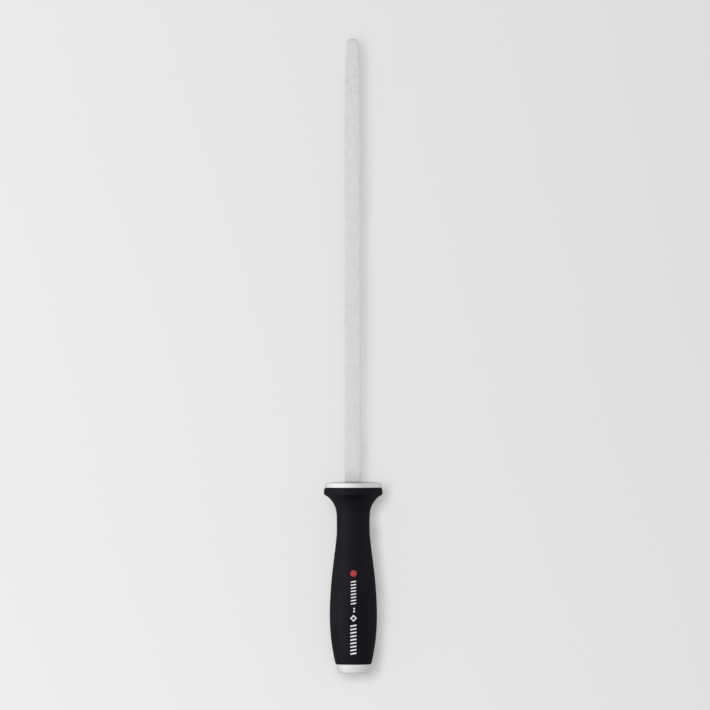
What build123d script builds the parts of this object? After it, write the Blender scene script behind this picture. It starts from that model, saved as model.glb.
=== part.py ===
"""Knife sharpening steel: round rod with a crowned guard disc, a two-shot moulded handle
clamped on a through tang, and an end cap on a snap-in plug.

Frame: millimetres. The rod's axis is the Y axis. The origin is the centre of the seat
where the working rod meets the guard disc; +Y points to the rod's tip, the handle runs
to -Y, and +Z is up when the steel lies flat.

Every turned piece is drawn as a half profile in the XY plane, with x as the radius and y
as the place along the axis, and revolved about Y. Sketches on Plane.XZ extrude to -Y.
"""

import math
import os

from build123d import *

# ---------------------------------------------------------------- shared dimensions
DISC_BACK = -4.05            # plane where the disc meets the gasket
GASKET_T = 0.40
FACE = DISC_BACK - GASKET_T  # front face of the handle
BUTT = -125.5                # rear end face of the handle
CAP_END = -131.4             # outer face of the end cap

SPIGOT_R = 11.0              # locating spigot behind the disc
SPIGOT_END = -6.0

TANG_KEY_R = 4.0             # double-D part of the tang
TANG_KEY_FLAT = 3.2          # half the width across its flats
TANG_KEY_END = -24.0
TANG_R = 3.15                # plain part of the tang, passes the keyed holes
KEY_CLEAR = 0.05             # clearance of the handle and disc holes on the tang
THREAD_R = 2.70              # M6 thread at its pitch radius

POCKET_R = 8.2               # counterbore at the butt for washers, nut and plug
POCKET_FLOOR = -113.0
WASHER_T = 1.6
SPRING_T = 1.6
NUT_T = 5.0
WASHER_BACK = POCKET_FLOOR - WASHER_T
SPRING_BACK = WASHER_BACK - SPRING_T
NUT_BACK = SPRING_BACK - NUT_T

SPIGOT_SNAP_Y = -119.2       # middle of the snap ring between plug spigot and pocket
HEAD_SNAP_Y = -127.8         # middle of the snap ring between plug head and cap
PLUG_HEAD_R = 9.9
PLUG_HEAD_END = -129.9


def draw_keyed_hole():
    """Draw the double-D hole for the tang in the sketch that is open."""
    Circle(TANG_KEY_R + KEY_CLEAR)
    Rectangle(2 * (TANG_KEY_FLAT + KEY_CLEAR), 4 * TANG_KEY_R, mode=Mode.INTERSECT)


def snap_ring(radius, rise, y, base, crest):
    """Four (radius, y) points of a trapezoid ring, listed towards -Y; base, crest: widths."""
    return [
        (radius, y + base / 2),
        (radius + rise, y + crest / 2),
        (radius + rise, y - crest / 2),
        (radius, y - base / 2),
    ]


# ---------------------------------------------------------------- 1 rod with its tang
ROD_LENGTH = 304.8           # working length, the nominal 12 inch size
ROD_R = 5.5
ROD_STRAIGHT = 205.0         # the rod is cylindrical up to here, then eases into the tip
# (radius, y) where each tangent arc of the taper stops
TAPER_STOPS = [(5.02, 276.0), (4.36, 293.6), (3.50, 301.7)]
TIP_CORNER = (3.23, 303.55)  # where the taper meets the domed end
TIP_DOME = (1.65, 304.508)   # a point on the dome
TIP_EDGE_R = 0.5             # rounding between taper and dome

THREAD_START = -104.0
THREAD_END = -122.6
THREAD_CHAMFER = 0.8
UNDERCUT_R = 2.35            # neck between the plain tang and the thread
UNDERCUT_LENGTH = 2.0
FLAT_CUT = 3.0               # radial size of the cutter that makes each flat

with BuildPart() as sharpening_rod:
    with BuildSketch(Plane.XY):
        with BuildLine():
            taper = Line((ROD_R, 0), (ROD_R, ROD_STRAIGHT))
            for stop in TAPER_STOPS:
                taper = TangentArc(taper @ 1, stop, tangent=taper % 1)
            Line(taper @ 1, TIP_CORNER)
            ThreePointArc(TIP_CORNER, TIP_DOME, (0, ROD_LENGTH))
            Polyline(
                (0, ROD_LENGTH),
                (0, THREAD_END),
                (THREAD_R - THREAD_CHAMFER, THREAD_END),
                (THREAD_R, THREAD_END + THREAD_CHAMFER),
                (THREAD_R, THREAD_START - UNDERCUT_LENGTH - 0.4),
                (UNDERCUT_R, THREAD_START - UNDERCUT_LENGTH),
                (UNDERCUT_R, THREAD_START),
                (TANG_R, THREAD_START + TANG_R - UNDERCUT_R),
                (TANG_R, TANG_KEY_END),
                (TANG_KEY_R, TANG_KEY_END + TANG_KEY_R - TANG_R),
                (TANG_KEY_R, 0),
                (ROD_R, 0),
            )
        make_face()
    revolve(axis=Axis.Y)
    corners = sharpening_rod.edges().filter_by(GeomType.CIRCLE)
    tip_edge = [e for e in corners if abs(e.radius - TIP_CORNER[0]) < 1e-3]
    fillet(tip_edge, radius=TIP_EDGE_R)
    # two flats on the tang key it against turning in the disc and the handle
    with BuildSketch(Plane.XZ):
        with GridLocations(2 * TANG_KEY_FLAT + FLAT_CUT, 0, 2, 1):
            Rectangle(FLAT_CUT, 12.0)
    extrude(amount=-TANG_KEY_END + 0.3, mode=Mode.SUBTRACT)

# ---------------------------------------------------------------- 2 guard disc
DISC_R = 19.6
DISC_CROWN = 1.0             # height of the crown over the rim
LAND_R = 6.1                 # flat seat for the rod's shoulder
FRONT_RIM_FILLET = 0.40
BACK_RIM_FILLET = 0.20
SPIGOT_CHAMFER = 0.35


def crown_y(radius):
    """Height of the disc's crowned face at a radius: an arc from the land to the rim."""
    crown_r = ((DISC_R - LAND_R) ** 2 + DISC_CROWN**2) / (2 * DISC_CROWN)
    return -(crown_r - math.sqrt(crown_r**2 - (radius - LAND_R) ** 2))


crown_middle_r = (LAND_R + DISC_R) / 2

with BuildPart() as guard_disc:
    with BuildSketch(Plane.XY):
        with BuildLine():
            Line((0, 0), (LAND_R, 0))
            ThreePointArc(
                (LAND_R, 0),
                (crown_middle_r, crown_y(crown_middle_r)),
                (DISC_R, -DISC_CROWN),
            )
            Polyline(
                (DISC_R, -DISC_CROWN),
                (DISC_R, DISC_BACK),
                (SPIGOT_R, DISC_BACK),
                (SPIGOT_R, SPIGOT_END),
                (0, SPIGOT_END),
                (0, 0),
            )
        make_face()
    revolve(axis=Axis.Y)
    # softened rim, front and back, and a lead-in on the spigot
    rims = guard_disc.edges().filter_by(GeomType.CIRCLE)
    front_rim = [e for e in rims if abs(e.radius - DISC_R) < 1e-3 and e.center().Y > -2]
    back_rim = [e for e in rims if abs(e.radius - DISC_R) < 1e-3 and e.center().Y < -3]
    nose = [e for e in rims if abs(e.radius - SPIGOT_R) < 1e-3 and e.center().Y < -5]
    fillet(front_rim, radius=FRONT_RIM_FILLET)
    fillet(back_rim, radius=BACK_RIM_FILLET)
    chamfer(nose, length=SPIGOT_CHAMFER)
    with BuildSketch(Plane.XZ.offset(-1)):
        draw_keyed_hole()
    extrude(amount=10, mode=Mode.SUBTRACT)

# ---------------------------------------------------------------- 3 gasket
GASKET_R = 19.15
GASKET_CLEAR = 0.10          # round the spigot

with BuildPart() as guard_gasket:
    with BuildSketch(Plane.XZ.offset(-DISC_BACK)):
        Circle(GASKET_R)
        Circle(SPIGOT_R + GASKET_CLEAR, mode=Mode.SUBTRACT)
    extrude(amount=GASKET_T)

# ---------------------------------------------------------------- 4 handle core
CORE_FLANGE_R = 16.8
CORE_FLANGE_BACK = -6.9
# Outer line of the core under the grip, (radius, y), from the flange to near the butt
CORE_LINE = [
    (16.4, -7.3), (13.2, -8.9), (10.4, -12.0), (8.75, -16.5), (8.2, -22.0),
    (8.15, -33.0), (8.7, -42.0), (10.1, -54.0), (11.7, -68.0), (12.8, -82.0),
    (13.1, -92.0), (12.7, -104.0), (11.4, -116.0), (10.45, -124.0),
]
# Ring grooves, (y of the middle, radius of the floor)
RING_GROOVES = [(-58.0, 9.3), (-76.0, 11.1), (-94.0, 11.8)]
GROOVE_CUT = 8.0             # radial size of the groove cutter
GROOVE_WIDTH = 2.6
GROOVE_CORNER_R = 0.5
KEYWAY_START = -17.5
KEYWAY_LENGTH = 18.0
KEYWAY_WIDTH = 3.0
KEYWAY_CUT = 2.4             # radial size of the keyway cutter
KEYWAY_CUT_R = 8.4           # radius of the cutter's middle
SOCKET_CLEAR = 0.06          # radial, round the disc's spigot
SOCKET_END_GAP = 0.2
BORE_START = -5.0            # inside the socket
MOUTH_CHAMFER = 0.6          # at the pocket's open end

# the core's outside, before its holes: the grip is moulded round this surface
with BuildPart() as core_blank:
    with BuildSketch(Plane.XY):
        with BuildLine():
            Polyline(
                (0, FACE),
                (CORE_FLANGE_R, FACE),
                (CORE_FLANGE_R, CORE_FLANGE_BACK),
                CORE_LINE[0],
            )
            Spline(*CORE_LINE)
            Polyline(CORE_LINE[-1], (CORE_LINE[-1][0], BUTT), (0, BUTT), (0, FACE))
        make_face()
    revolve(axis=Axis.Y)
    # ring grooves and lengthwise keyways lock the overmoulded grip to the core
    with BuildSketch(Plane.XY):
        for groove_y, floor_r in RING_GROOVES:
            with Locations((floor_r + GROOVE_CUT / 2, groove_y)):
                RectangleRounded(GROOVE_CUT, GROOVE_WIDTH, GROOVE_CORNER_R)
    revolve(axis=Axis.Y, mode=Mode.SUBTRACT)
    with Locations(Plane.XZ.offset(-KEYWAY_START)):
        with PolarLocations(KEYWAY_CUT_R, 4, start_angle=45):
            Box(
                KEYWAY_CUT,
                KEYWAY_WIDTH,
                KEYWAY_LENGTH,
                align=(Align.CENTER, Align.CENTER, Align.MIN),
                mode=Mode.SUBTRACT,
            )

with BuildPart() as handle_core:
    add(core_blank.part)
    # socket for the disc's spigot
    with BuildSketch(Plane.XZ.offset(-FACE)):
        Circle(SPIGOT_R + SOCKET_CLEAR)
    extrude(amount=FACE - SPIGOT_END + SOCKET_END_GAP, mode=Mode.SUBTRACT)
    # keyed bore
    with BuildSketch(Plane.XZ):
        draw_keyed_hole()
    extrude(amount=-TANG_KEY_END + 0.5, mode=Mode.SUBTRACT)
    # plain bore, out past the butt
    with BuildSketch(Plane.XZ.offset(-BORE_START)):
        Circle(TANG_R + KEY_CLEAR)
    extrude(amount=-BUTT, mode=Mode.SUBTRACT)
    # rear pocket with its snap groove
    with BuildSketch(Plane.XY):
        with BuildLine():
            Polyline(
                (0, POCKET_FLOOR),
                (POCKET_R, POCKET_FLOOR),
                *snap_ring(POCKET_R, rise=0.42, y=SPIGOT_SNAP_Y, base=1.3, crest=0.5),
                (POCKET_R, BUTT + MOUTH_CHAMFER),
                (POCKET_R + MOUTH_CHAMFER, BUTT),
                (POCKET_R + MOUTH_CHAMFER, BUTT - 2),
                (0, BUTT - 2),
                close=True,
            )
        make_face()
    revolve(axis=Axis.Y, mode=Mode.SUBTRACT)

# ---------------------------------------------------------------- 5 handle grip
# Guard flange, (radius, y)
FLANGE_FRONT = (19.55, FACE)
FLANGE_SIDE_START = (19.90, FACE - 0.38)
FLANGE_SIDE_END = (20.17, -7.75)
FLANGE_ROUND = (20.02, -8.62)  # a point on the rounded back edge
FLANGE_BACK = (19.35, -9.22)
# Outer line of the grip, (radius, y), from the back of the flange to near the butt
HANDLE_LINE = [
    (17.55, -10.35), (14.86, -13.0), (13.14, -15.75), (12.02, -18.5), (11.50, -21.6),
    (11.29, -26.0), (11.26, -30.5), (11.30, -34.6), (11.35, -36.4), (11.53, -38.2),
    (12.08, -43.25), (12.77, -48.75), (13.80, -57.0), (14.76, -65.25), (15.49, -73.5),
    (15.99, -81.75), (16.21, -89.2), (16.17, -95.5), (15.94, -101.0), (15.52, -106.5),
    (14.84, -112.0), (13.93, -117.6), (13.05, -122.0), (12.70, -123.6),
]
BUTT_ROUND = (12.32, -124.85)  # a point on the rounded butt edge
BUTT_EDGE = (11.76, BUTT)
# Directions of the outline where its curves join
SIDE_DIRECTION = (0.04, -1)
FLANGE_BACK_DIRECTION = (-1.0, -0.62)
HANDLE_END_DIRECTION = (-0.26, -1)

with BuildPart() as handle_grip:
    with BuildSketch(Plane.XY):
        with BuildLine():
            Line((0, FACE), FLANGE_FRONT)
            Spline(FLANGE_FRONT, FLANGE_SIDE_START, tangents=[(1, 0), SIDE_DIRECTION])
            Line(FLANGE_SIDE_START, FLANGE_SIDE_END)
            Spline(
                FLANGE_SIDE_END,
                FLANGE_ROUND,
                FLANGE_BACK,
                tangents=[SIDE_DIRECTION, FLANGE_BACK_DIRECTION],
            )
            Spline(
                FLANGE_BACK,
                *HANDLE_LINE,
                tangents=[FLANGE_BACK_DIRECTION, HANDLE_END_DIRECTION],
            )
            Spline(
                HANDLE_LINE[-1],
                BUTT_ROUND,
                BUTT_EDGE,
                tangents=[HANDLE_END_DIRECTION, (-1, -0.22)],
            )
            Polyline(BUTT_EDGE, (0, BUTT), (0, FACE))
        make_face()
    revolve(axis=Axis.Y)
    add(core_blank.part, mode=Mode.SUBTRACT)

# ---------------------------------------------------------------- 6 flat washer
WASHER_R = 7.0
WASHER_HOLE_R = 3.2
WASHER_FILLET = 0.25

with BuildPart() as tang_washer:
    with BuildSketch(Plane.XZ.offset(-POCKET_FLOOR)):
        Circle(WASHER_R)
        Circle(WASHER_HOLE_R, mode=Mode.SUBTRACT)
    extrude(amount=WASHER_T)
    washer_rims = tang_washer.edges().filter_by(GeomType.CIRCLE).sort_by(SortBy.RADIUS)[-2:]
    fillet(washer_rims, radius=WASHER_FILLET)

# ---------------------------------------------------------------- 7 spring washer
SPRING_R = 5.85
SPRING_HOLE_R = 3.1
SPLIT_NEAR = 0.1             # z of the slanted split's sides, mirrored front to back
SPLIT_FAR = 0.9
SPLIT_OVERRUN = 0.2          # past both faces

with BuildPart() as spring_washer:
    with BuildSketch(Plane.XZ.offset(-WASHER_BACK)):
        Circle(SPRING_R)
        Circle(SPRING_HOLE_R, mode=Mode.SUBTRACT)
    extrude(amount=SPRING_T)
    # the slanted split, on the +X side; the sketch's points are (y, z)
    with BuildSketch(Plane.YZ):
        with BuildLine():
            Polyline(
                (WASHER_BACK + SPLIT_OVERRUN, SPLIT_NEAR),
                (WASHER_BACK + SPLIT_OVERRUN, SPLIT_FAR),
                (SPRING_BACK - SPLIT_OVERRUN, -SPLIT_NEAR),
                (SPRING_BACK - SPLIT_OVERRUN, -SPLIT_FAR),
                close=True,
            )
        make_face()
    extrude(amount=8, mode=Mode.SUBTRACT)

# ---------------------------------------------------------------- 8 nut
NUT_AF = 10.0                # across flats
NUT_FACE_R = 4.75            # flat part of each face
NUT_SLOPE = 0.577            # corners turned off at 30 degrees
NUT_MOUTH_R = 3.2            # countersink of the bore
NUT_MOUTH_DEPTH = 0.45

nut_corner_r = NUT_AF / 2 / math.cos(math.pi / 6)
nut_turned_r = nut_corner_r + 0.01
nut_drop = (nut_corner_r - NUT_FACE_R) * NUT_SLOPE
nut_bore_r = THREAD_R + 0.01

with BuildPart() as tang_nut:
    with BuildSketch(Plane.XZ.offset(-SPRING_BACK)):
        RegularPolygon(NUT_AF / 2, 6, major_radius=False)
    extrude(amount=NUT_T)
    # turned-off corners on both faces
    with BuildSketch(Plane.XY):
        with BuildLine():
            Polyline(
                (0, SPRING_BACK),
                (NUT_FACE_R, SPRING_BACK),
                (nut_turned_r, SPRING_BACK - nut_drop),
                (nut_turned_r, NUT_BACK + nut_drop),
                (NUT_FACE_R, NUT_BACK),
                (0, NUT_BACK),
                close=True,
            )
        make_face()
    revolve(axis=Axis.Y, mode=Mode.INTERSECT)
    # bore, countersunk at both ends
    with BuildSketch(Plane.XY):
        with BuildLine():
            Polyline(
                (0, SPRING_BACK + 1),
                (NUT_MOUTH_R, SPRING_BACK + 1),
                (NUT_MOUTH_R, SPRING_BACK),
                (nut_bore_r, SPRING_BACK - NUT_MOUTH_DEPTH),
                (nut_bore_r, NUT_BACK + NUT_MOUTH_DEPTH),
                (NUT_MOUTH_R, NUT_BACK),
                (NUT_MOUTH_R, NUT_BACK - 1),
                (0, NUT_BACK - 1),
                close=True,
            )
        make_face()
    revolve(axis=Axis.Y, mode=Mode.SUBTRACT)

# ---------------------------------------------------------------- 9 end plug
PLUG_SPIGOT_START = -116.9
PLUG_SPIGOT_R = POCKET_R - 0.08
PLUG_NOSE_R = 7.75           # small end of the spigot's lead-in
PLUG_NOSE_LENGTH = 0.8
PLUG_ROOT_R = 8.5            # where the spigot flares into the head
PLUG_HEAD_CHAMFER = 0.5
PLUG_BORE_R = 6.5
PLUG_BORE_END = -124.6
PLUG_BORE_CHAMFER = 0.6
SLOT_WIDTH = 1.2
SLOT_CUT_LENGTH = 6.6        # includes 1 mm in front of the spigot

with BuildPart() as end_plug:
    with BuildSketch(Plane.XY):
        with BuildLine():
            Polyline(
                (PLUG_BORE_R, PLUG_SPIGOT_START),
                (PLUG_NOSE_R, PLUG_SPIGOT_START),
                (PLUG_SPIGOT_R, PLUG_SPIGOT_START - PLUG_NOSE_LENGTH),
                *snap_ring(PLUG_SPIGOT_R, rise=0.38, y=SPIGOT_SNAP_Y, base=1.1, crest=0.3),
                (PLUG_SPIGOT_R, BUTT + 0.4),
                (PLUG_ROOT_R, BUTT),
                (PLUG_HEAD_R, BUTT),
                *snap_ring(PLUG_HEAD_R, rise=0.22, y=HEAD_SNAP_Y, base=0.9, crest=0.3),
                (PLUG_HEAD_R, PLUG_HEAD_END + PLUG_HEAD_CHAMFER),
                (PLUG_HEAD_R - PLUG_HEAD_CHAMFER, PLUG_HEAD_END),
                (0, PLUG_HEAD_END),
                (0, PLUG_BORE_END),
                (PLUG_BORE_R - PLUG_BORE_CHAMFER, PLUG_BORE_END),
                (PLUG_BORE_R, PLUG_BORE_END + PLUG_BORE_CHAMFER),
                close=True,
            )
        make_face()
    revolve(axis=Axis.Y)
    # two crossed cuts make four slots between the spigot's snap fingers
    with Locations(Plane.XZ.offset(-PLUG_SPIGOT_START - 1)):
        with PolarLocations(0, 2, angular_range=180):
            Box(
                24,
                SLOT_WIDTH,
                SLOT_CUT_LENGTH,
                align=(Align.CENTER, Align.CENTER, Align.MIN),
                mode=Mode.SUBTRACT,
            )

# ---------------------------------------------------------------- 10 end cap
CAP_FRONT = BUTT - 0.08      # a small gap behind the handle
CAP_BORE_R = PLUG_HEAD_R + 0.05
CAP_FRONT_R = 11.74
CAP_SIDE_END = (10.62, -130.70)
CAP_ROUND = (10.40, -131.20)  # a point on the rounded outer edge
CAP_FACE_R = 9.85

with BuildPart() as end_cap:
    with BuildSketch(Plane.XY):
        with BuildLine():
            Polyline((CAP_BORE_R, CAP_FRONT), (CAP_FRONT_R, CAP_FRONT), CAP_SIDE_END)
            Spline(
                CAP_SIDE_END,
                CAP_ROUND,
                (CAP_FACE_R, CAP_END),
                tangents=[(-0.22, -1), (-1, 0)],
            )
            Polyline(
                (CAP_FACE_R, CAP_END),
                (0, CAP_END),
                (0, PLUG_HEAD_END),
                (CAP_BORE_R, PLUG_HEAD_END),
                *reversed(
                    snap_ring(CAP_BORE_R, rise=0.22, y=HEAD_SNAP_Y, base=0.9, crest=0.36)
                ),
                (CAP_BORE_R, CAP_FRONT),
            )
        make_face()
    revolve(axis=Axis.Y)

# ---------------------------------------------------------------- labels and files
PIECES = {
    "sharpening_rod": sharpening_rod,
    "guard_disc": guard_disc,
    "guard_gasket": guard_gasket,
    "handle_core": handle_core,
    "handle_grip": handle_grip,
    "tang_washer": tang_washer,
    "spring_washer": spring_washer,
    "tang_nut": tang_nut,
    "end_plug": end_plug,
    "end_cap": end_cap,
}

os.makedirs("parts", exist_ok=True)
for name, piece in PIECES.items():
    piece.part.label = name
    export_step(piece.part, f"parts/{name}.step")
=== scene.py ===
"""A round honing steel with a moulded grip, lying on pale ground.

The axis of the steel is Y: the rod starts at y = 0 and its tip is at +Y, the butt of the handle
at -Y. +Z is up, and the print is on the grip's upper side. Left and right are -X and +X, as seen
by the camera above. Outlines are (radius, y) in millimetres; materials and stage are in metres.
"""
import math

import bmesh
import bpy
import numpy as np
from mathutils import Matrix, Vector


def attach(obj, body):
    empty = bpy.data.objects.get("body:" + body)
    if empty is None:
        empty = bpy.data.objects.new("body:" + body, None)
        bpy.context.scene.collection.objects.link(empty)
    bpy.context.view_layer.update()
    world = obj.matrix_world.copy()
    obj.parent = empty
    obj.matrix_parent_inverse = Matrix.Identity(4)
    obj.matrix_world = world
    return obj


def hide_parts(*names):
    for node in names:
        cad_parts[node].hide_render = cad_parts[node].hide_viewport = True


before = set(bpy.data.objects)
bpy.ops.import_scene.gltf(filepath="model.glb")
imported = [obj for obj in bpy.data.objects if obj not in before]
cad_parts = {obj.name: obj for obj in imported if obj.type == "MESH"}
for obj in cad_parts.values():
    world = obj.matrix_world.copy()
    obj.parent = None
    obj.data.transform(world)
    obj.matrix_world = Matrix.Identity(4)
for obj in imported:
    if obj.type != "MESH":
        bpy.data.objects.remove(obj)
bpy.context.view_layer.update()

rng = np.random.default_rng(64)
MM = 0.001


# ------------------------------------------------------------------ outlines
def smooth_line(points, count, start, end):
    """Cubic Hermite curve through the points, leaving along start and arriving along end."""
    points = np.array(points, float)
    along = np.r_[0, np.cumsum(np.hypot(*np.diff(points, axis=0).T))]
    slopes = np.gradient(points, along, axis=0)
    slopes[0] = np.array(start) / np.hypot(*start)
    slopes[-1] = np.array(end) / np.hypot(*end)
    place = np.linspace(0, along[-1], count)
    i = np.clip(np.searchsorted(along, place, side="right") - 1, 0, len(along) - 2)
    chord = (along[i + 1] - along[i])[:, None]
    u = (place - along[i])[:, None] / chord
    return (
        (2 * u**3 - 3 * u**2 + 1) * points[i]
        + (u**3 - 2 * u**2 + u) * chord * slopes[i]
        + (-2 * u**3 + 3 * u**2) * points[i + 1]
        + (u**3 - u**2) * chord * slopes[i + 1]
    )


def arc(centre, radius, start_deg, end_deg, count):
    angle = np.radians(np.linspace(start_deg, end_deg, count))
    return np.c_[centre[0] + radius * np.cos(angle), centre[1] + radius * np.sin(angle)]


def rounded(corners, radii, count):
    """Closed polygon with each corner rounded by its own radius, in count points."""
    corners = np.array(corners, float)
    out = []
    for k, radius in enumerate(radii):
        corner = corners[k]
        if radius <= 0:
            out.append(corner[None])
            continue
        back = corners[k - 1] - corner
        ahead = corners[(k + 1) % len(corners)] - corner
        back_length, ahead_length = np.hypot(*back), np.hypot(*ahead)
        back, ahead = back / back_length, ahead / ahead_length
        half = math.acos(float(back @ ahead)) / 2
        trim = min(radius / math.tan(half), back_length * 0.49, ahead_length * 0.49)
        radius = trim * math.tan(half)
        middle = (back + ahead) / np.hypot(*(back + ahead))
        centre = corner + middle * (radius / math.sin(half))
        start, end = corner + back * trim - centre, corner + ahead * trim - centre
        first = math.atan2(start[1], start[0])
        turn = (math.atan2(end[1], end[0]) - first + math.pi) % (2 * math.pi) - math.pi
        angle = first + np.linspace(0, 1, count) * turn
        out.append(np.c_[centre[0] + radius * np.cos(angle), centre[1] + radius * np.sin(angle)])
    return np.concatenate(out)


def crown_drop(offset, half_width, rise):
    """How far a crown of this half width and rise has dropped at an offset from its top."""
    sphere = (half_width**2 + rise**2) / (2 * rise)
    return sphere - np.sqrt(sphere**2 - offset**2)


# ------------------------------------------------------------------ meshes
def full_turn(seg):
    return np.arange(seg) * 2 * math.pi / seg


def about_axis(radius, y, turn):
    """Points about Y; a turn of 0 is straight up."""
    return np.stack(np.broadcast_arrays(radius * np.sin(turn), y, radius * np.cos(turn)), -1)


def band(first, second, seg, closed=True):
    """Quads between two rows of seg vertices, given each row's first index."""
    return [
        (first + k, first + (k + 1) % seg, second + (k + 1) % seg, second + k)
        for k in range(seg if closed else seg - 1)
    ]


def fan(first, tip, seg):
    return [(first + k, first + (k + 1) % seg, tip) for k in range(seg)]


def solid(name, verts, faces, material, sharp_deg=None):
    """Object from points in mm, with its faces turned outward; flat without a sharp angle."""
    mesh = bpy.data.meshes.new(name)
    mesh.from_pydata([tuple(v) for v in verts * MM], [], faces)
    mesh.validate()
    mesh.update()
    ob = bpy.data.objects.new(name, mesh)
    bpy.context.scene.collection.objects.link(ob)
    mesh.materials.append(material)
    bm = bmesh.new()
    bm.from_mesh(mesh)
    bmesh.ops.remove_doubles(bm, verts=bm.verts, dist=1e-7)
    bmesh.ops.dissolve_degenerate(bm, dist=1e-8, edges=bm.edges)
    bmesh.ops.recalc_face_normals(bm, faces=bm.faces)
    bm.to_mesh(mesh)
    bm.free()
    mesh.update()
    if sharp_deg is not None:
        mesh.shade_smooth()
        mesh.set_sharp_from_angle(angle=math.radians(sharp_deg))
    return ob


def revolve(name, profile, material, seg=256, reshape=None, sharp_deg=40):
    """Closed profile turned about Y. reshape(radius, turn) may change the radius."""
    profile = np.array(profile, float)
    turn = full_turn(seg)[None]
    radius, y = profile[:, :1], profile[:, 1:]
    if reshape is not None:
        radius = reshape(radius, turn)
    verts = about_axis(radius, y, turn).reshape(-1, 3)
    on_axis = profile[:, 0] < 1e-6
    faces = []
    for i in range(len(profile)):
        j = (i + 1) % len(profile)
        if on_axis[i] and on_axis[j]:
            continue
        if on_axis[i]:
            faces += [face[::-1] for face in fan(j * seg, i * seg, seg)]
        elif on_axis[j]:
            faces += fan(i * seg, j * seg, seg)
        else:
            faces += band(i * seg, j * seg, seg)
    return solid(name, verts, faces, material, sharp_deg)


# ------------------------------------------------------------------ node helpers
class Nodes:
    """A node tree built a node at a time. Inputs take a number, a colour or a socket."""

    def __init__(self, tree, coordinates):
        self.tree = tree
        tree.nodes.clear()
        self.co = self.node("ShaderNodeTexCoord").outputs[coordinates]

    def node(self, kind, inputs={}, **settings):
        made = self.tree.nodes.new(kind)
        for key, value in settings.items():
            setattr(made, key, value)
        self.feed(made, inputs)
        return made

    def feed(self, node, inputs):
        for key, value in inputs.items():
            if value is None:
                continue
            if isinstance(value, (int, float)):
                node.inputs[key].default_value = value
            elif isinstance(value, tuple):
                node.inputs[key].default_value = (*value, 1)
            else:
                self.tree.links.new(value, node.inputs[key])

    def math(self, op, a, b=None):
        return self.node("ShaderNodeMath", {0: a, 1: b}, operation=op).outputs[0]

    def add(self, a, b):
        return self.math("ADD", a, b)

    def sub(self, a, b):
        return self.math("SUBTRACT", a, b)

    def mul(self, a, b):
        return self.math("MULTIPLY", a, b)

    def top(self, a, b):
        return self.math("MAXIMUM", a, b)

    def weighted(self, *parts):
        """Sum of (value, weight) parts."""
        total = self.mul(*parts[-1])
        for part in parts[-2::-1]:
            total = self.add(self.mul(*part), total)
        return total

    def range(self, value, span, to=(0.0, 1.0)):
        ends = dict(enumerate((value, *span, *to)))
        return self.node("ShaderNodeMapRange", ends).outputs[0]

    def split(self):
        return self.node("ShaderNodeSeparateXYZ", {0: self.co}).outputs

    def combine(self, x, y, z):
        return self.node("ShaderNodeCombineXYZ", {0: x, 1: y, 2: z}).outputs[0]

    def ramp(self, value, stops):
        """Colour that follows (place, colour) stops."""
        made = self.node("ShaderNodeValToRGB", {0: value})
        elements = made.color_ramp.elements
        for k in (0, -1):
            elements[k].position, elements[k].color = stops[k][0], (*stops[k][1], 1)
        for place, color in stops[1:-1]:
            elements.new(place).color = (*color, 1)
        return made.outputs[0]

    def steps(self, value, stops):
        """Single value that follows (place, value) stops."""
        return self.ramp(value, [(place, (level,) * 3) for place, level in stops])


class Mat(Nodes):
    """A Principled material in object coordinates."""

    def __init__(self, name):
        self.material = bpy.data.materials.new(name)
        self.material.use_nodes = True
        super().__init__(self.material.node_tree, "Object")
        self.bsdf = self.node("ShaderNodeBsdfPrincipled")
        self.node("ShaderNodeOutputMaterial", {0: self.bsdf.outputs[0]})
        self.last_bump = None

    def surface(self, values):
        self.feed(self.bsdf, values)

    def noise(self, detail, rough, scale=1.0, stretch=None, vector=None):
        """Noise at one scale, or with its own scale along each axis."""
        vector = vector or self.co
        if stretch:
            mapping = self.node("ShaderNodeMapping", {"Vector": vector})
            mapping.inputs["Scale"].default_value = stretch
            vector = mapping.outputs[0]
        inputs = {"Vector": vector, "Scale": scale, "Detail": detail, "Roughness": rough}
        return self.node("ShaderNodeTexNoise", inputs).outputs["Fac"]

    def mix(self, share, a, b):
        return self.node("ShaderNodeMix", {0: share, 6: a, 7: b}, data_type="RGBA").outputs[2]

    def axial(self):
        """(radius, y, turn) vector, radius and y, in metres, for pieces turned about Y."""
        x, y, z = self.split()
        radius = self.math("SQRT", self.add(self.mul(x, x), self.mul(z, z)))
        turn_scale = 0.004
        turn = self.mul(self.math("ARCTAN2", x, z), turn_scale)
        return self.combine(radius, y, turn), radius, y

    def color_edges(self, color, radius, share, edge_color):
        """Mix edge_color in near convex edges."""
        bevel = self.node("ShaderNodeBevel", {"Radius": radius}, samples=4).outputs[0]
        normal = self.node("ShaderNodeNewGeometry").outputs["Normal"]
        dot = self.node("ShaderNodeVectorMath", {0: bevel, 1: normal}, operation="DOT_PRODUCT")
        edge = self.range(dot.outputs["Value"], span=(0.995, 0.85))
        return self.mix(self.mul(edge, share), color, edge_color)

    def bump(self, height, strength, distance):
        """Add a bump on top of the earlier ones."""
        inputs = {"Strength": strength, "Distance": distance,
                  "Height": height, "Normal": self.last_bump}
        self.last_bump = self.node("ShaderNodeBump", inputs).outputs[0]
        self.surface({"Normal": self.last_bump})


def scaled(color, factor):
    return tuple(c * factor for c in color)


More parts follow.
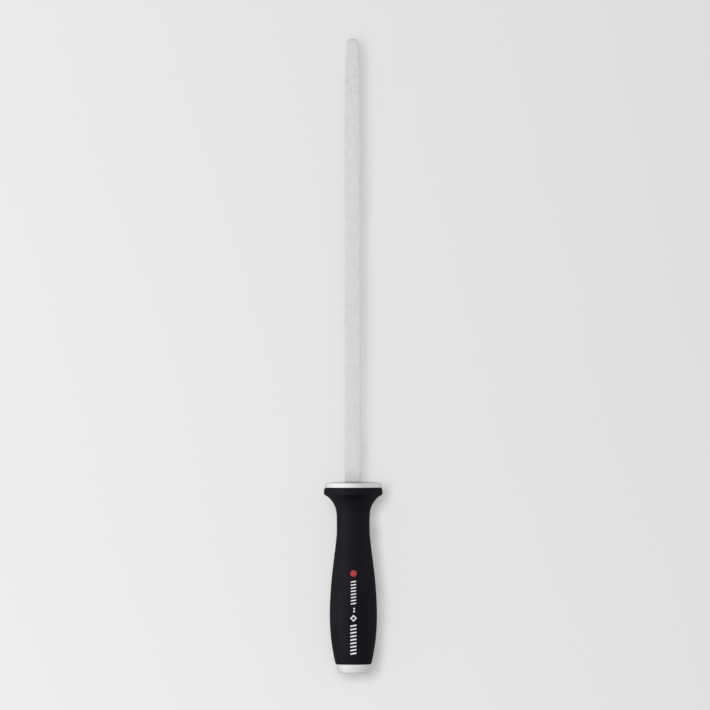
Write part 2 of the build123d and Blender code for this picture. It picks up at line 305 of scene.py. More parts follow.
# ------------------------------------------------------------------ materials
def rod_steel():
    """Satin steel: streaks along Y, faint cloudy mottling."""
    m = Mat("rod_steel")
    streak = m.noise(stretch=(5200, 55, 5200), detail=3.0, rough=0.6)
    cloud = m.noise(stretch=(260, 150, 260), detail=4.0, rough=0.6)
    fine = m.noise(stretch=(1500, 700, 1500), detail=3.0, rough=0.65)
    tone = m.weighted((streak, 0.35), (cloud, 0.4), (fine, 0.25))
    color = m.ramp(tone, [
        (0.34, (0.655, 0.655, 0.652)), (0.52, (0.71, 0.71, 0.707)), (0.68, (0.755, 0.755, 0.752)),
    ])
    # faint spots and a duller finish towards the tip
    y = m.split()[1]
    speckle = m.noise(stretch=(520, 380, 520), detail=3.0, rough=0.6)
    spots = m.range(speckle, span=(0.50, 0.66))
    near_tip = m.range(y, span=(0.225, 0.285), to=(0.0, 0.55))
    color = m.mix(m.mul(spots, near_tip), color, (0.58, 0.58, 0.578))
    at_tip = m.range(y, span=(0.300, 0.3040), to=(0.0, 0.5))
    color = m.mix(at_tip, color, (0.56, 0.56, 0.553))
    m.surface({
        "Base Color": color,
        "Metallic": 0.62,
        "Roughness": m.range(tone, span=(0.3, 0.7), to=(0.62, 0.52)),
    })
    m.bump(streak, strength=0.15, distance=0.00003)
    m.bump(fine, strength=0.12, distance=0.00002)
    return m.material


def steel_turned(name, base, rough, line, tint, glance, metal, wear, face_painted_shade=None):
    """Steel turned about Y: fine rings on the faces, fine hoops on the sides.

    line is the depth of the rings, glance the reflection at low angles, wear the share of
    brighter metal at the edges, and the last argument a painted shade on a crowned front face:
    a darker colour that stands in for the shaded ground the face reflects."""
    m = Mat(name)

    def shade(factor):
        return tuple(base * factor * part for part in tint)

    vector, radius, y = m.axial()
    rings = m.noise(stretch=(9000, 9000, 40), detail=3.0, rough=0.6, vector=vector)
    cloud = m.noise(stretch=(170, 170, 170), detail=4.0, rough=0.55)
    scratch = m.noise(stretch=(900, 2600, 1400), detail=5.0, rough=0.7)
    marks = m.range(scratch, span=(0.66, 0.74))
    tone = m.weighted((rings, 0.6), (cloud, 0.4))
    color = m.ramp(tone, [(0.32, shade(0.90)), (0.68, shade(1.08))])
    dullness = m.range(tone, span=(0.3, 0.7), to=(rough * 0.85, rough * 1.2))
    dullness = m.add(dullness, m.mul(marks, 0.06))
    if face_painted_shade is not None:
        # painted shade: the crowned face's colour is darkened to stand in for the shaded ground it
        # reflects; the face is also more satin than the rim
        in_front = m.range(y, span=(-0.00125, -0.00095))
        face = m.mul(in_front, m.range(radius, span=(0.0192, 0.0189)))
        color = m.mix(face, color, shade(face_painted_shade))
        dullness = m.add(dullness, m.mul(face, 0.10))
    m.surface({
        "Base Color": m.color_edges(color, radius=0.0005, share=wear, edge_color=shade(1.22)),
        "Metallic": metal,
        "Specular Tint": (glance, glance, glance + 0.02),
        "Roughness": dullness,
        "Anisotropic": 0.35,
    })
    m.bump(rings, strength=line, distance=0.00002)
    m.bump(marks, strength=0.05, distance=0.00002)
    return m.material


def grip_plastic():
    """Matt black moulded plastic: fine grain, slight sheen, paler edges."""
    m = Mat("grip_plastic")
    grain = m.noise(scale=3600.0, detail=3.0, rough=0.6)
    coarse = m.noise(scale=1500.0, detail=2.0, rough=0.5)
    cloud = m.noise(scale=95.0, detail=4.0, rough=0.55)
    rub = m.noise(stretch=(260, 60, 260), detail=5.0, rough=0.6)
    color = m.ramp(cloud, [(0.3, (0.0018, 0.0013, 0.0030)), (0.7, (0.0032, 0.0024, 0.0050))])
    # the sheen fades towards the outline, where the surface is seen at a low angle
    facing = m.node("ShaderNodeLayerWeight", {"Blend": 0.5}).outputs["Facing"]
    sheen = ((0.0, 0.150), (0.20, 0.150), (0.45, 0.078), (0.70, 0.022), (1.0, 0.0))
    m.surface({
        "Base Color": m.color_edges(
            color, radius=0.0008, share=0.5, edge_color=(0.016, 0.015, 0.018)),
        "Roughness": m.add(m.range(grain, span=(0.3, 0.7), to=(0.66, 0.56)),
                           m.range(rub, span=(0.35, 0.7), to=(0.03, -0.05))),
        "Specular IOR Level": m.steps(facing, sheen),
        "Specular Tint": (0.93, 0.85, 1.0),
    })
    m.bump(grain, strength=0.35, distance=0.00005)
    m.bump(coarse, strength=0.20, distance=0.00006)
    return m.material


def plain_plastic(name, base, rough):
    m = Mat(name)
    grain = m.noise(scale=2200.0, detail=3.0, rough=0.6)
    flow = m.noise(stretch=(180, 45, 180), detail=4.0, rough=0.55)
    color = m.ramp(flow, [(0.32, scaled(base, 0.75)), (0.68, scaled(base, 1.3))])
    pale = tuple(c * 2.2 + 0.01 for c in base)
    m.surface({
        "Base Color": m.color_edges(color, radius=0.0005, share=0.4, edge_color=pale),
        "Roughness": m.range(grain, span=(0.3, 0.7), to=(rough + 0.06, rough - 0.06)),
        "Specular IOR Level": 0.45,
    })
    m.bump(grain, strength=0.3, distance=0.00005)
    return m.material


def gasket_rubber():
    m = Mat("gasket_rubber")
    grain = m.noise(scale=2600.0, detail=4.0, rough=0.65)
    bloom = m.noise(scale=420.0, detail=3.0, rough=0.5)
    m.surface({
        "Base Color": m.ramp(bloom, [(0.3, (0.010, 0.010, 0.011)), (0.7, (0.022, 0.022, 0.024))]),
        "Roughness": m.range(grain, span=(0.3, 0.7), to=(0.78, 0.62)),
        "Specular IOR Level": 0.35,
    })
    m.bump(grain, strength=0.4, distance=0.00006)
    return m.material


def zinc_steel(name, dark, middle, light, rough):
    """Steel with a spangled coating in three tones."""
    m = Mat(name)
    spangle = m.node("ShaderNodeTexVoronoi", {"Vector": m.co, "Scale": 900.0})
    grain = m.noise(scale=1300.0, detail=4.0, rough=0.6)
    tone = m.weighted((grain, 0.7), (spangle.outputs["Distance"], 0.3))
    color = m.ramp(tone, [(0.30, dark), (0.50, middle), (0.72, light)])
    bright = scaled(light, 1.25)
    m.surface({
        "Base Color": m.color_edges(color, radius=0.0003, share=0.5, edge_color=bright),
        "Metallic": 1.0,
        "Roughness": m.range(tone, span=(0.3, 0.7), to=(rough + 0.08, rough - 0.06)),
    })
    m.bump(grain, strength=0.25, distance=0.00003)
    return m.material


def print_ink(name, base):
    """Near matt ink, slightly uneven."""
    m = Mat(name)
    lay = m.noise(scale=1900.0, detail=4.0, rough=0.6)
    grain = m.noise(scale=4200.0, detail=2.0, rough=0.5)
    stops = [(0.30, scaled(base, 0.80)), (0.55, base), (0.75, scaled(base, 1.06))]
    m.surface({
        "Base Color": m.ramp(lay, stops),
        "Roughness": m.range(grain, span=(0.3, 0.7), to=(0.62, 0.48)),
        "Specular IOR Level": 0.4,
    })
    m.bump(grain, strength=0.3, distance=0.00003)
    return m.material


ROD_STEEL = rod_steel()
# the disc's crowned face gets a painted shade, standing in for the shaded ground it reflects
DISC_STEEL = steel_turned("disc_steel", base=0.775, rough=0.17, line=0.20,
                          tint=(0.982, 0.982, 1.0), glance=0.70, metal=1.0, wear=0.30,
                          face_painted_shade=0.66)
CAP_STEEL = steel_turned("cap_steel", base=0.785, rough=0.34, line=0.25,
                         tint=(0.975, 0.975, 1.0), glance=0.45, metal=0.78, wear=0.05)
GASKET_RUBBER = gasket_rubber()
GRIP_PLASTIC = grip_plastic()
CORE_PLASTIC = plain_plastic("core_plastic", base=(0.030, 0.030, 0.034), rough=0.5)
PLUG_PLASTIC = plain_plastic("plug_plastic", base=(0.026, 0.026, 0.029), rough=0.48)
FASTENER_STEEL = zinc_steel("fastener_steel", dark=(0.40, 0.41, 0.41), middle=(0.55, 0.56, 0.56),
                            light=(0.68, 0.69, 0.70), rough=0.34)
SPRING_STEEL = zinc_steel("spring_steel", dark=(0.16, 0.16, 0.17), middle=(0.26, 0.26, 0.27),
                          light=(0.36, 0.36, 0.37), rough=0.42)
PRINT_WHITE = print_ink("print_white", base=(0.93, 0.93, 0.94))
PRINT_RED = print_ink("print_red", base=(0.46, 0.028, 0.034))

# ------------------------------------------------------------------ rod and tang
ROD_R = 5.5
STRAIGHT_END = 205.0
TAPER = ((5.02, 276.0), (4.36, 293.6), (3.50, 301.7))   # (radius, y) where each arc ends
CONE_SLOPE = 0.146
ROD_END = 304.8
TIP_EDGE = ((3.30, 303.15), (3.24, 303.42), (3.15, 303.60))   # (radius, y) rings
DOME_RADII = (3.02, 2.6, 2.0, 1.3, 0.6)
DOME_R, DOME_RISE = 3.23, 1.25
START_CHAMFER = 0.12
ROD_ROWS = np.r_[
    0.0, 0.15, 0.6, 1.4, 2.4, 3.2,
    np.linspace(5.0, STRAIGHT_END, 26),
    np.linspace(209.0, 293.0, 36),
    np.linspace(294.0, 302.9, 24),
]
RIDGES = 76
PER_RIDGE = 6           # vertices round each ridge
RIDGE_DEPTH = 0.075
DEPTH_SPREAD, DEPTH_LIMITS = 0.22, (0.55, 1.5)
FADE_IN = (0.6, 1.8)    # y where the ridges begin, and the length they grow over
FADE_OUT = (301.0, 7.0)   # y where they end, and the length they fade over

TANG_SEG = 96
TANG_FLAT = 3.2         # from the axis to each flat, facing -X and +X
TANG_ROWS = (           # (y, radius)
    (0.0, 4.0), (-23.0, 4.0), (-23.4, 3.75), (-24.1, 3.15), (-60.0, 3.15), (-103.2, 3.15),
    (-104.0, 2.35), (-106.0, 2.35), (-106.4, 2.45),
)
THREAD_START, THREAD_STOP, THREAD_STEP = -106.5, -122.2, -0.125
THREAD_PITCH = 1.0
THREAD_RUN = 1.0        # length over which the thread grows and dies
THREAD_ROOT, THREAD_HEIGHT = 2.42, 0.29
TANG_END = -122.6
TANG_END_ROWS = ((-122.3, 2.2), (TANG_END, 1.9))


def rod_outline(y):
    """Rod radius at y: straight, three arcs in turn, then a short cone."""
    if y <= STRAIGHT_END:
        return ROD_R
    radius, slope, start = ROD_R, 0.0, STRAIGHT_END
    for end_radius, end in TAPER:
        span = end - start
        bend = (radius - end_radius - slope * span) * 2 / span**2
        if y <= end:
            run = y - start
            return radius - slope * run - bend * run * run / 2
        radius, slope, start = end_radius, slope + bend * span, end
    return radius - CONE_SLOPE * (y - start)


def flatted(turn, radius, flat):
    """Radius of a round bar or hole with two flats facing -X and +X."""
    side = np.abs(np.sin(turn))
    return np.where(side * radius > flat, flat / np.maximum(side, 1e-6), radius)


def rod_rings():
    seg = RIDGES * PER_RIDGE
    turn = full_turn(seg)
    phase = (np.arange(seg) % PER_RIDGE) / PER_RIDGE
    valley = (0.5 - 0.5 * np.cos(2 * math.pi * phase)) ** 0.8
    spread = 1.0 + DEPTH_SPREAD * rng.standard_normal(RIDGES)
    depth = np.repeat(np.clip(spread, *DEPTH_LIMITS), PER_RIDGE)
    rings = []
    for y in ROD_ROWS:
        outline = rod_outline(y)
        fade = np.clip((y - FADE_IN[0]) / FADE_IN[1], 0, 1)
        fade *= np.clip((FADE_OUT[0] - y) / FADE_OUT[1], 0, 1)
        radius = outline - RIDGE_DEPTH * fade * depth * valley * (outline / ROD_R)
        if y == 0:
            radius = radius - START_CHAMFER
        rings.append(about_axis(radius, y, turn))
    dome = [(radius, ROD_END - crown_drop(radius, DOME_R, DOME_RISE)) for radius in DOME_RADII]
    return rings + [about_axis(radius, y, turn) for radius, y in (*TIP_EDGE, *dome)]


def tang_rings():
    turn = full_turn(TANG_SEG)
    rows = [(y, flatted(turn, radius, TANG_FLAT)) for y, radius in TANG_ROWS]
    for y in np.arange(THREAD_START, THREAD_STOP, THREAD_STEP):
        phase = ((-y / THREAD_PITCH) - turn / (2 * math.pi)) % 1.0
        ridge = 1 - np.abs(2 * phase - 1)
        ridge = np.clip((ridge - 0.12) / 0.72, 0, 1)   # flat roots and crests
        run = min(1.0, (THREAD_START - y) / THREAD_RUN) * min(1.0, (y - TANG_END) / THREAD_RUN)
        rows.append((y, THREAD_ROOT + THREAD_HEIGHT * ridge * run))
    return [about_axis(radius, y, turn) for y, radius in (*rows, *TANG_END_ROWS)]


def build_rod():
    """Ridged rod and its tang in one mesh, joined by a flat shoulder at y = 0."""
    verts, faces = np.empty((0, 3)), []
    for rings, end in ((rod_rings(), ROD_END), (tang_rings(), TANG_END)):
        base, seg = len(verts), len(rings[0])
        verts = np.concatenate([verts, *rings, [[0, end, 0]]])
        for i in range(len(rings) - 1):
            faces += band(base + i * seg, base + (i + 1) * seg, seg)
        faces += fan(base + (len(rings) - 1) * seg, len(verts) - 1, seg)
    # the shoulder, between the rod's first ring and the tang's; base is the tang's first vertex
    rod_seg = RIDGES * PER_RIDGE
    step = rod_seg / TANG_SEG
    for k in range(TANG_SEG):
        first, last = round(k * step), round((k + 1) * step)
        outer = [x % rod_seg for x in range(first, last + 1)]
        faces.append((base + k, *outer, base + (k + 1) % TANG_SEG))
    return solid("sharpening_rod_ridged", verts, faces, ROD_STEEL, 50)


rod = build_rod()

# ------------------------------------------------------------------ guard disc and gasket
LAND_R, DISC_R, DISC_CROWN = 6.1, 19.6, 1.0
FRONT_ROUND, BACK_ROUND = 0.40, 0.20   # radii of the disc's rim
DISC_BACK = -4.05
HOLE_R, HOLE_FLAT = 4.05, 3.25
GASKET_R, GASKET_BORE = 19.15, 11.1
GASKET_BACK = -4.45


def disc_hole(radius, turn):
    return np.where(radius < HOLE_R + 0.01, flatted(turn, HOLE_R, HOLE_FLAT), radius)


def build_disc():
    crown_r = np.linspace(LAND_R, DISC_R - FRONT_ROUND, 22)
    crown = np.c_[crown_r, -crown_drop(crown_r - LAND_R, DISC_R - LAND_R, DISC_CROWN)]
    back = [
        (15.0, DISC_BACK), (11.15, DISC_BACK), (11.0, -4.2), (11.0, -5.65), (10.65, -6.0),
        (7.0, -6.0), (HOLE_R, -6.0),
    ]
    profile = np.concatenate([
        [(HOLE_R, 0.0), (5.6, 0.0)],
        crown,
        arc((DISC_R - FRONT_ROUND, -1.345), FRONT_ROUND, 76, 0, 7),
        arc((DISC_R - BACK_ROUND, DISC_BACK + BACK_ROUND), BACK_ROUND, 0, -90, 5),
        back,
    ])
    return revolve("guard_disc_polished", profile, DISC_STEEL, reshape=disc_hole)


def build_gasket():
    corners = [
        (GASKET_BORE, DISC_BACK), (GASKET_R, DISC_BACK),
        (GASKET_R, GASKET_BACK), (GASKET_BORE, GASKET_BACK),
    ]
    profile = rounded(corners, [0.05, 0.12, 0.12, 0.05], 4)
    return revolve("guard_gasket_moulded", profile, GASKET_RUBBER)


disc = build_disc()
gasket = build_gasket()

# ------------------------------------------------------------------ grip
# (radius, y) points of the outer outline from the flange's lip to the butt
HANDLE_LINE = [
    (19.35, -9.22), (17.55, -10.35), (14.86, -13.0), (13.14, -15.75), (12.02, -18.5),
    (11.50, -21.6), (11.29, -26.0), (11.26, -30.5), (11.30, -34.6), (11.35, -36.4),
    (11.53, -38.2), (12.08, -43.25), (12.77, -48.75), (13.80, -57.0), (14.76, -65.25),
    (15.49, -73.5), (15.99, -81.75), (16.21, -89.2), (16.17, -95.5), (15.94, -101.0),
    (15.52, -106.5), (14.84, -112.0), (13.93, -117.6), (13.05, -122.0), (12.70, -123.6),
]
# (radius, y) points of the hollow inside, from the flange to the butt
CORE_LINE = [
    (16.8, GASKET_BACK), (16.8, -6.9), (16.4, -7.3), (13.2, -8.9), (10.4, -12.0), (8.75, -16.5),
    (8.2, -22.0), (8.15, -33.0), (8.7, -42.0), (10.1, -54.0), (11.7, -68.0), (12.8, -82.0),
    (13.1, -92.0), (12.7, -104.0), (11.4, -116.0), (10.45, -124.0), (10.45, -125.5),
]
FLANGE_FRONT = [(19.55, GASKET_BACK), (19.82, -4.60), (19.90, -4.83)]
FLANGE_SIDE = [(19.95, -5.4), (20.05, -6.5), (20.14, -7.5)]
FLANGE_LIP = [(20.17, -7.75), (20.02, -8.62), HANDLE_LINE[0]]
BUTT_ROUND = [HANDLE_LINE[-1], (12.32, -124.85), (11.76, -125.5)]
FLANGE_SLOPE = (0.04, -1)    # directions (radius, y) where the outline's parts meet
LIP_SLOPE = (-1.0, -0.62)
BUTT_SLOPE = (-0.26, -1)
SEAM_HEIGHT, SEAM_WIDTH = 0.035, 0.16

grip_body = smooth_line(HANDLE_LINE, 170, LIP_SLOPE, BUTT_SLOPE)


def build_grip():
    outer = np.concatenate([
        smooth_line(FLANGE_FRONT, 7, (1, 0), FLANGE_SLOPE),
        FLANGE_SIDE,
        smooth_line(FLANGE_LIP, 9, FLANGE_SLOPE, LIP_SLOPE),
        grip_body[1:],
        smooth_line(BUTT_ROUND, 9, BUTT_SLOPE, (-1, -0.22))[1:],
    ])
    profile = np.concatenate([outer, CORE_LINE[::-1]])
    outside = np.zeros((len(profile), 1), bool)
    outside[3:len(outer) - 3] = True

    def seam(radius, turn):
        """A hair-thin raised line down the left and right sides, outside surface only."""
        line = np.exp(-(np.abs(np.cos(turn)) * radius / SEAM_WIDTH) ** 2) * SEAM_HEIGHT
        return radius + np.where(outside, line, 0.0)

    return revolve("handle_grip_moulded", profile, GRIP_PLASTIC, 360, seam, 55)


grip = build_grip()

# ------------------------------------------------------------------ end cap
CAP_BORE = 9.95
CAP_FRONT, CAP_FLOOR, CAP_END = -125.58, -129.9, -131.4
# (radius, y, rounding) corners; the last four cut a groove in the bore
CAP_CORNERS = np.array([
    (CAP_BORE, CAP_FRONT, 0.1), (11.74, CAP_FRONT, 0.12), (10.50, CAP_END, 0.75),
    (0.0, CAP_END, 0), (0.0, CAP_FLOOR, 0), (CAP_BORE, CAP_FLOOR, 0.1),
    (CAP_BORE, -128.25, 0), (10.17, -127.98, 0), (10.17, -127.62, 0), (CAP_BORE, -127.35, 0),
])
cap = revolve("end_cap_turned", rounded(CAP_CORNERS[:, :2], CAP_CORNERS[:, 2], 7), CAP_STEEL)

# ------------------------------------------------------------------ printed mark
PRINT_LIFT, PRINT_SINK = 0.02, 0.05   # the ink's top above the grip, its underside below
TICK_LEAN = 0.18
DOT_HOLE = 0.02
BODY_BY_Y = grip_body[np.argsort(grip_body[:, 1])]


def film(patches, name, material):
    """Thin shapes on the grip's upper side. A patch is a grid of (x, y) points seen from above,
    and whether its rows close on themselves."""
    verts, faces = [], []
    base = 0
    for grid, closed in patches:
        grid = np.array(grid, float)
        rows, cols = grid.shape[:2]
        x, y = grid.reshape(-1, 2).T
        radius = np.interp(y, BODY_BY_Y[:, 1], BODY_BY_Y[:, 0])
        for level in (PRINT_LIFT, -PRINT_SINK):
            verts.append(about_axis(radius + level, y, x / radius))
        low = base + rows * cols
        for i in range(rows - 1):
            upper, lower = (
                band(start + i * cols, start + (i + 1) * cols, cols, closed)
                for start in (base, low)
            )
            for top, bottom in zip(upper, lower):
                faces += [top, bottom[::-1]]
        for rim in (0, (rows - 1) * cols):
            faces += band(base + rim, low + rim, cols, closed)
        if not closed:
            for col in (0, cols - 1):
                for i in range(rows - 1):
                    here, after = i * cols + col, (i + 1) * cols + col
                    faces.append((base + here, base + after, low + after, low + here))
        base += 2 * rows * cols
    return solid(name, np.concatenate(verts), faces, material)


def ticks(count, first, pitch, width, left, right):
    """A column of slanted bars going down from y = first."""
    patches = []
    for k in range(count):
        y = first - k * pitch
        grid = [
            [(x, edge + TICK_LEAN * (x - left)) for edge in np.linspace(y, y - width, 4)]
            for x in np.linspace(left, right, 9)
        ]
        patches.append((grid, False))
    return patches


def dot(x, y, radius, count):
    turn = np.linspace(0, 2 * math.pi, count, endpoint=False)
    grid = [
        np.c_[x + r * np.cos(turn), y + r * np.sin(turn)]
        for r in np.linspace(DOT_HOLE, radius, 5)
    ]
    return grid, True


def lozenge(x, y, half, inner):
    """An open lozenge between an outer and an inner outline."""
    corners = [(0, 1), (1, 0), (0, -1), (-1, 0)]
    outline = np.array([
        (ax + (bx - ax) * u, ay + (by - ay) * u)
        for (ax, ay), (bx, by) in zip(corners, corners[1:] + corners[:1])
        for u in np.linspace(0, 1, 7, endpoint=False)
    ])
    return [(x, y) + size * outline for size in np.linspace(inner, half, 4)], True


mark_red = film([dot(0.15, -62.9, radius=2.25, count=44)], "handle_print_red", PRINT_RED)
mark_white = film([
    *ticks(count=8, first=-68.4, pitch=2.15, width=0.82, left=-1.7, right=1.9),
    *[dot(0.5, y, radius=0.62, count=16) for y in (-87.0, -88.9)],
    lozenge(0.1, -93.6, half=2.35, inner=1.25),
    *ticks(count=9, first=-98.6, pitch=2.4, width=0.96, left=-2.1, right=2.1),
], "handle_print_white", PRINT_WHITE)

# ------------------------------------------------------------------ tie to the frame
for ob, node, slot_name in (
    (rod, "sharpening_rod", "rod_steel"),
    (disc, "guard_disc", "disc_steel"),
    (gasket, "guard_gasket", "gasket_rubber"),
    (grip, "handle_grip", "grip_plastic"),
    (cap, "end_cap", "cap_steel"),
):
    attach(ob, "root")
    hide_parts(node)
for ob in (mark_red, mark_white):
    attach(ob, "root")
# the hidden pieces keep their meshes from the frame
for node, material, slot_name in (
    ("handle_core", CORE_PLASTIC, "core_plastic"),
    ("tang_washer", FASTENER_STEEL, "fastener_steel"),
    ("spring_washer", SPRING_STEEL, "spring_steel"),
    ("tang_nut", FASTENER_STEEL, "fastener_steel"),
    ("end_plug", PLUG_PLASTIC, "plug_plastic"),
):
    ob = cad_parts[node]
    ob.data.materials.clear()
    ob.data.materials.append(material)
    ob.data.set_sharp_from_angle(angle=math.radians(30))

# ------------------------------------------------------------------ ground
GROUND_Y = (-0.16, 0.34)     # y where the tables below have their places 0 and 1
BESIDE_X = (-0.025, 0.025)   # x of the same for SHADE_ROD
# half of how far the imagined light of the painted shadow leans to the left
SHADE_LEAN = (
    (0.0, 0.55), (0.088, 0.55), (0.12, 0.42), (0.16, 0.42), (0.22, 0.48), (0.30, 0.50),
    (0.38, 0.70), (1.0, 0.70),
)
# the painted contact shadow in two layers, each with its reach (in REACH_UNIT) and its depth
# (in DEPTH_UNIT)
REACH_UNIT, DEPTH_UNIT = 0.030, 5.0
SHADE_NEAR = (
    ((0.0, 0.62), (0.056, 0.62), (0.066, 0.70), (0.088, 0.667), (0.12, 0.60), (0.16, 0.58),
     (0.22, 0.54), (0.264, 0.56), (0.30, 0.48), (0.345, 0.44), (0.38, 0.533), (0.46, 0.467),
     (0.56, 0.40), (0.66, 0.333), (0.76, 0.267), (1.0, 0.267)),
    ((0.0, 1.0), (0.056, 1.0), (0.066, 0.64), (0.088, 0.34), (0.12, 0.185), (0.16, 0.18),
     (0.22, 0.095), (0.264, 0.13), (0.290, 0.10), (0.303, 0.165), (0.318, 0.175), (0.335, 0.09),
     (0.345, 0.075), (0.38, 0.33), (0.46, 0.14), (0.56, 0.18), (0.66, 0.065), (0.76, 0.053),
     (0.90, 0.056), (1.0, 0.056)),
)
SHADE_FAR = (
    ((0.0, 0.80), (0.063, 0.82), (0.088, 0.733), (0.12, 0.667), (0.16, 0.667), (0.22, 0.60),
     (0.264, 0.63), (0.30, 0.54), (0.345, 0.50), (0.38, 0.60), (0.46, 0.533), (0.56, 0.533),
     (0.66, 0.40), (0.76, 0.40), (0.85, 0.38), (1.0, 0.38)),
    ((0.0, 0.15), (0.063, 0.17), (0.088, 0.23), (0.12, 0.18), (0.16, 0.105), (0.22, 0.265),
     (0.264, 0.285), (0.30, 0.10), (0.345, 0.08), (0.38, 0.205), (0.46, 0.185), (0.56, 0.105),
     (0.66, 0.109), (0.76, 0.075), (0.85, 0.038), (1.0, 0.030)),
)
# where the rod's own painted shadow takes over, just in front of the guard
FRONT_ZONE = ((0.0, 0.0), (0.3215, 0.0), (0.3355, 1.0), (0.378, 1.0), (0.3906, 0.0), (1.0, 0.0))
# the rod's painted shadow there, from left (0) to right (1)
SHADE_ROD = (
    (0.0, 0.0), (0.08, 0.0), (0.188, 0.004), (0.298, 0.008), (0.326, 0.014), (0.353, 0.026),
    (0.367, 0.038), (0.38, 0.072), (0.614, 0.264), (0.642, 0.23), (0.655, 0.204), (0.683, 0.16),
    (0.71, 0.106), (0.738, 0.058), (0.779, 0.02), (0.82, 0.004), (0.87, 0.0), (1.0, 0.0),
)
# the painted shadow round the butt, from a spot under the cap (0) to BUTT_REACH from it (1)
SHADE_BUTT = (
    (0.0, 0.43), (0.15, 0.425), (0.23, 0.415), (0.2825, 0.400), (0.317, 0.385), (0.3515, 0.356),
    (0.386, 0.317), (0.4205, 0.285), (0.455, 0.253), (0.4895, 0.207), (0.524, 0.172),
    (0.5585, 0.140), (0.593, 0.1135), (0.6275, 0.081), (0.6615, 0.053), (0.696, 0.034),
    (0.73, 0.0195), (0.765, 0.010), (0.827, 0.0), (1.0, 0.0),
)
BUTT_REACH = 0.020
BUTT_LEFT, BUTT_RIGHT, BUTT_Y = -0.00083, 0.00846, -0.11979   # edges of that spot
BUTT_ZONE = (-0.11752, -0.12166)   # y over which the butt's shade takes over

# the steel rests on the rim of its flange and near its tip, so the ground climbs to the tip
RIM_R, RIM_Y = 20.19, -7.75
TIP_R, TIP_Y = 3.55, 303.0
GROUND_SIZE = 60.0
GROUND_GAP = 0.00002


def painted_contact_shade(m, x, y, along):
    """Painted contact shadow: how much of the ground's glow is taken away round the steel."""
    lean = m.combine(m.mul(m.steps(along, SHADE_LEAN), -2.0), 0.30, 0.60)
    upright = m.node("ShaderNodeVectorMath", {0: lean}, operation="NORMALIZE").outputs[0]
    shaded = 0.0
    for reach, depth in (SHADE_NEAR, SHADE_FAR):
        distance = m.mul(m.steps(along, reach), REACH_UNIT)
        occlusion = m.node("ShaderNodeAmbientOcclusion",
                           {"Distance": distance, "Normal": upright}, samples=6)
        closed = m.sub(1.0, occlusion.outputs["AO"])
        part = m.mul(closed, m.mul(m.steps(along, depth), DEPTH_UNIT))
        shaded = m.add(part, shaded)
    # painted shadow: just in front of the guard most of it is the rod's alone
    front = m.steps(along, FRONT_ZONE)
    beside = m.steps(m.range(x, span=BESIDE_X), SHADE_ROD)
    shaded = m.mul(shaded, m.sub(1.0, m.mul(front, 0.8)))
    shaded = m.add(shaded, m.mul(front, beside))
    # past the butt the painted shadow fades evenly all round
    aside = m.top(m.top(m.sub(BUTT_LEFT, x), m.sub(x, BUTT_RIGHT)), 0.0)
    below = m.top(m.sub(BUTT_Y, y), 0.0)
    away = m.math("SQRT", m.add(m.mul(aside, aside), m.mul(below, below)), 0.0)
    round_butt = m.steps(m.range(away, span=(0.0, BUTT_REACH)), SHADE_BUTT)
    past = m.range(y, span=BUTT_ZONE)
    return m.add(m.mul(shaded, m.sub(1.0, past)), m.mul(round_butt, past))


def floor_material():
    """Plain pale sheet whose glow stands in for its lighting: painted light, brighter on the left,
    less a painted contact shadow.
    """
    m = Mat("floor_pale_painted_light_and_shade")
    cloud = m.noise(scale=3.0, detail=4.0, rough=0.5)
    grain = m.noise(scale=260.0, detail=3.0, rough=0.5)
    x, y, _ = m.split()
    along = m.range(y, span=GROUND_Y)
    # what the painted contact shadow leaves of the glow
    painted_lit_share = m.top(m.sub(1.0, painted_contact_shade(m, x, y, along)), 0.25)
    # painted light: the glow is stronger on the left and a little stronger towards the butt
    painted_light_across = m.range(x, span=(-0.25, 0.25), to=(0.728, 0.622))
    painted_light_lengthwise = m.range(y, span=GROUND_Y, to=(1.025, 0.975))
    # painted reflection: seen in reflections the ground is made brighter on the left and darker
    # past the butt
    painted_reflection_shift = m.add(m.range(x, span=BESIDE_X, to=(0.32, -0.04)),
                  m.range(y, span=(-0.150, -0.131), to=(-0.35, 0.0)))
    painted_reflection_shift = m.mul(m.node("ShaderNodeLightPath").outputs["Is Glossy Ray"], painted_reflection_shift)
    painted_glow = m.mul(m.mul(painted_light_across, painted_light_lengthwise), painted_lit_share)
    m.surface({
        "Base Color": m.ramp(cloud, [(0.3, (0.118, 0.1175, 0.116)), (0.7, (0.125, 0.1245, 0.123))]),
        "Roughness": m.range(grain, span=(0.3, 0.7), to=(0.62, 0.56)),
        "Specular IOR Level": 0.1,
        "Emission Color": (1.0, 0.996, 0.988),
        "Emission Strength": m.mul(painted_glow, m.add(painted_reflection_shift, 1.0)),
    })
    return m.material


def build_ground():
    tilt = math.asin((RIM_R - TIP_R) / (TIP_Y - RIM_Y))
    # wider on the right, so that the face's diagonal doesn't run under the steel
    left, right, end = -GROUND_SIZE / 3, GROUND_SIZE * 1.7, GROUND_SIZE
    mesh = bpy.data.meshes.new("ground")
    corners = [(left, -end, 0), (right, -end, 0), (right, end, 0), (left, end, 0)]
    mesh.from_pydata(corners, [], [(0, 1, 2, 3)])
    ground = bpy.data.objects.new("ground", mesh)
    mesh.materials.append(floor_material())
    bpy.context.scene.collection.objects.link(ground)
    ground.rotation_euler = (tilt, 0, 0)
    normal = np.array([0, -math.sin(tilt), math.cos(tilt)])
    under_rim = np.array([0, RIM_Y * MM, 0]) - normal * RIM_R * MM
    ground.location = tuple(under_rim - np.array([0, 0, GROUND_GAP]))
    return ground


build_ground()

# ------------------------------------------------------------------ world
scene = bpy.context.scene
# brightness across the studio, from the left (0) to the right (1)
SWEEP = (
    (0.0, 0.93), (0.04, 0.94), (0.20, 0.89), (0.32, 0.85), (0.455, 0.78), (0.595, 0.68),
    (0.735, 0.61), (0.855, 0.58), (1.0, 0.60),
)
WARMTH = 0.998   # red and green as a share of blue


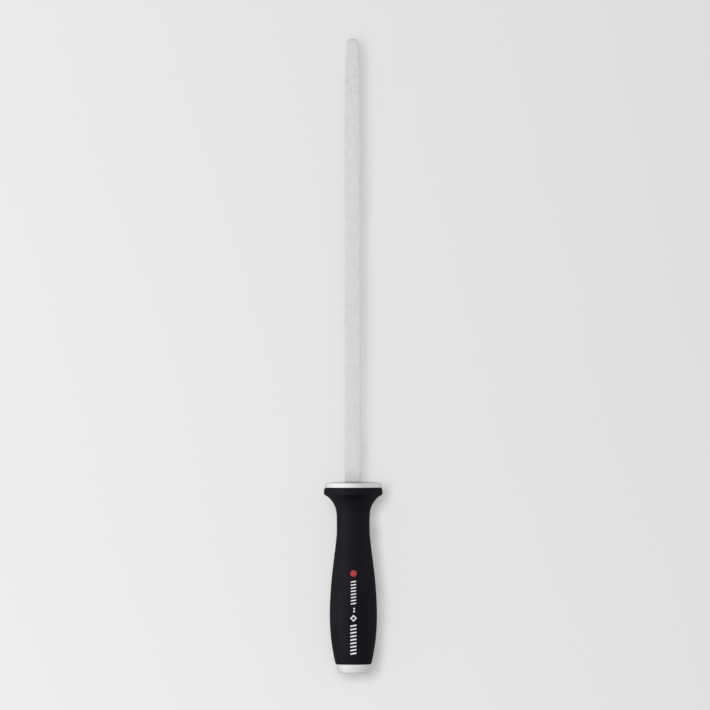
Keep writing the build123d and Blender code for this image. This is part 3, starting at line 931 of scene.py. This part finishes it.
def build_world():
    world = bpy.data.worlds.new("studio")
    scene.world = world
    world.use_nodes = True
    w = Nodes(world.node_tree, "Generated")
    x, y, _ = w.split()
    stops = [(place, (level * WARMTH, level * WARMTH, level)) for place, level in SWEEP]
    color = w.ramp(w.range(x, span=(-1.0, 1.0)), stops)
    # both ends of the studio are darker than its sides, and the wall behind the butt darker still
    ends = w.range(w.mul(y, y), span=(0.0, 1.0), to=(1.25, 0.92))
    behind_butt = w.range(y, span=(-0.98, -0.60), to=(0.52, 1.0))
    studio = w.node("ShaderNodeBackground", {0: color, 1: w.mul(ends, behind_butt)})
    # seen directly, the backdrop is a plain pale tone
    seen = w.node("ShaderNodeBackground", {0: (0.800, 0.798, 0.790), 1: 1.0})
    direct = w.node("ShaderNodeLightPath").outputs["Is Camera Ray"]
    shader = w.node("ShaderNodeMixShader", {0: direct, 1: studio.outputs[0], 2: seen.outputs[0]})
    w.node("ShaderNodeOutputWorld", {0: shader.outputs[0]})


build_world()


# ------------------------------------------------------------------ lights
def area(name, location, target, size, power, color, only=None):
    """Square light that the camera can't see; it lights one piece alone if only is given."""
    data = bpy.data.lights.new(name, "AREA")
    data.shape = "RECTANGLE"
    data.size = data.size_y = size
    data.energy = power
    data.color = color
    light = bpy.data.objects.new(name, data)
    scene.collection.objects.link(light)
    light.location = location
    aim = Vector(np.subtract(target, location))
    light.rotation_euler = aim.to_track_quat("-Z", "Y").to_euler()
    light.visible_camera = False
    if only:
        receiver = bpy.data.collections.new(name + "_receiver")
        receiver.objects.link(only)
        light.light_linking.receiver_collection = receiver
    return light


key = area("key", location=(1.5, 0.5, 2.5), target=(0, 0.08, 0), size=2.0, power=8.0,
           color=(1.0, 0.997, 0.99))
key.visible_glossy = False
# a soft light from the left that gives the black grip its sheen
area("sheen", location=(-1.6, 0.0, 1.1), target=(0, -0.06, 0), size=1.6, power=14.5,
     color=(0.95, 0.85, 1.0), only=grip)
# weaker ones from the right that even out the rod and the cap
area("fill", location=(1.6, 0.1, 1.1), target=(0, 0.15, 0), size=1.6, power=5.6,
     color=(1.0, 1.0, 0.995), only=rod)
area("glint", location=(0.95, -0.1, 1.65), target=(0, -0.13, 0), size=1.2, power=1.5,
     color=(1.0, 1.0, 1.0), only=cap)

# ------------------------------------------------------------------ camera
CAMERA_HEIGHT = 8.0
VIEW_WIDTH = 0.4882
SENSOR_WIDTH = 36.0   # mm

camera_data = bpy.data.cameras.new("camera")
camera_data.sensor_width = SENSOR_WIDTH
camera_data.lens = SENSOR_WIDTH * CAMERA_HEIGHT / VIEW_WIDTH
camera_data.clip_start, camera_data.clip_end = 0.5, 200.0
camera = bpy.data.objects.new("camera", camera_data)
scene.collection.objects.link(camera)
camera.location = (0.00140, 0.08709, CAMERA_HEIGHT)
camera.rotation_euler = (0, 0, math.radians(-0.09))
scene.camera = camera
scene.view_settings.view_transform = "Standard"
scene.view_settings.look = "None"
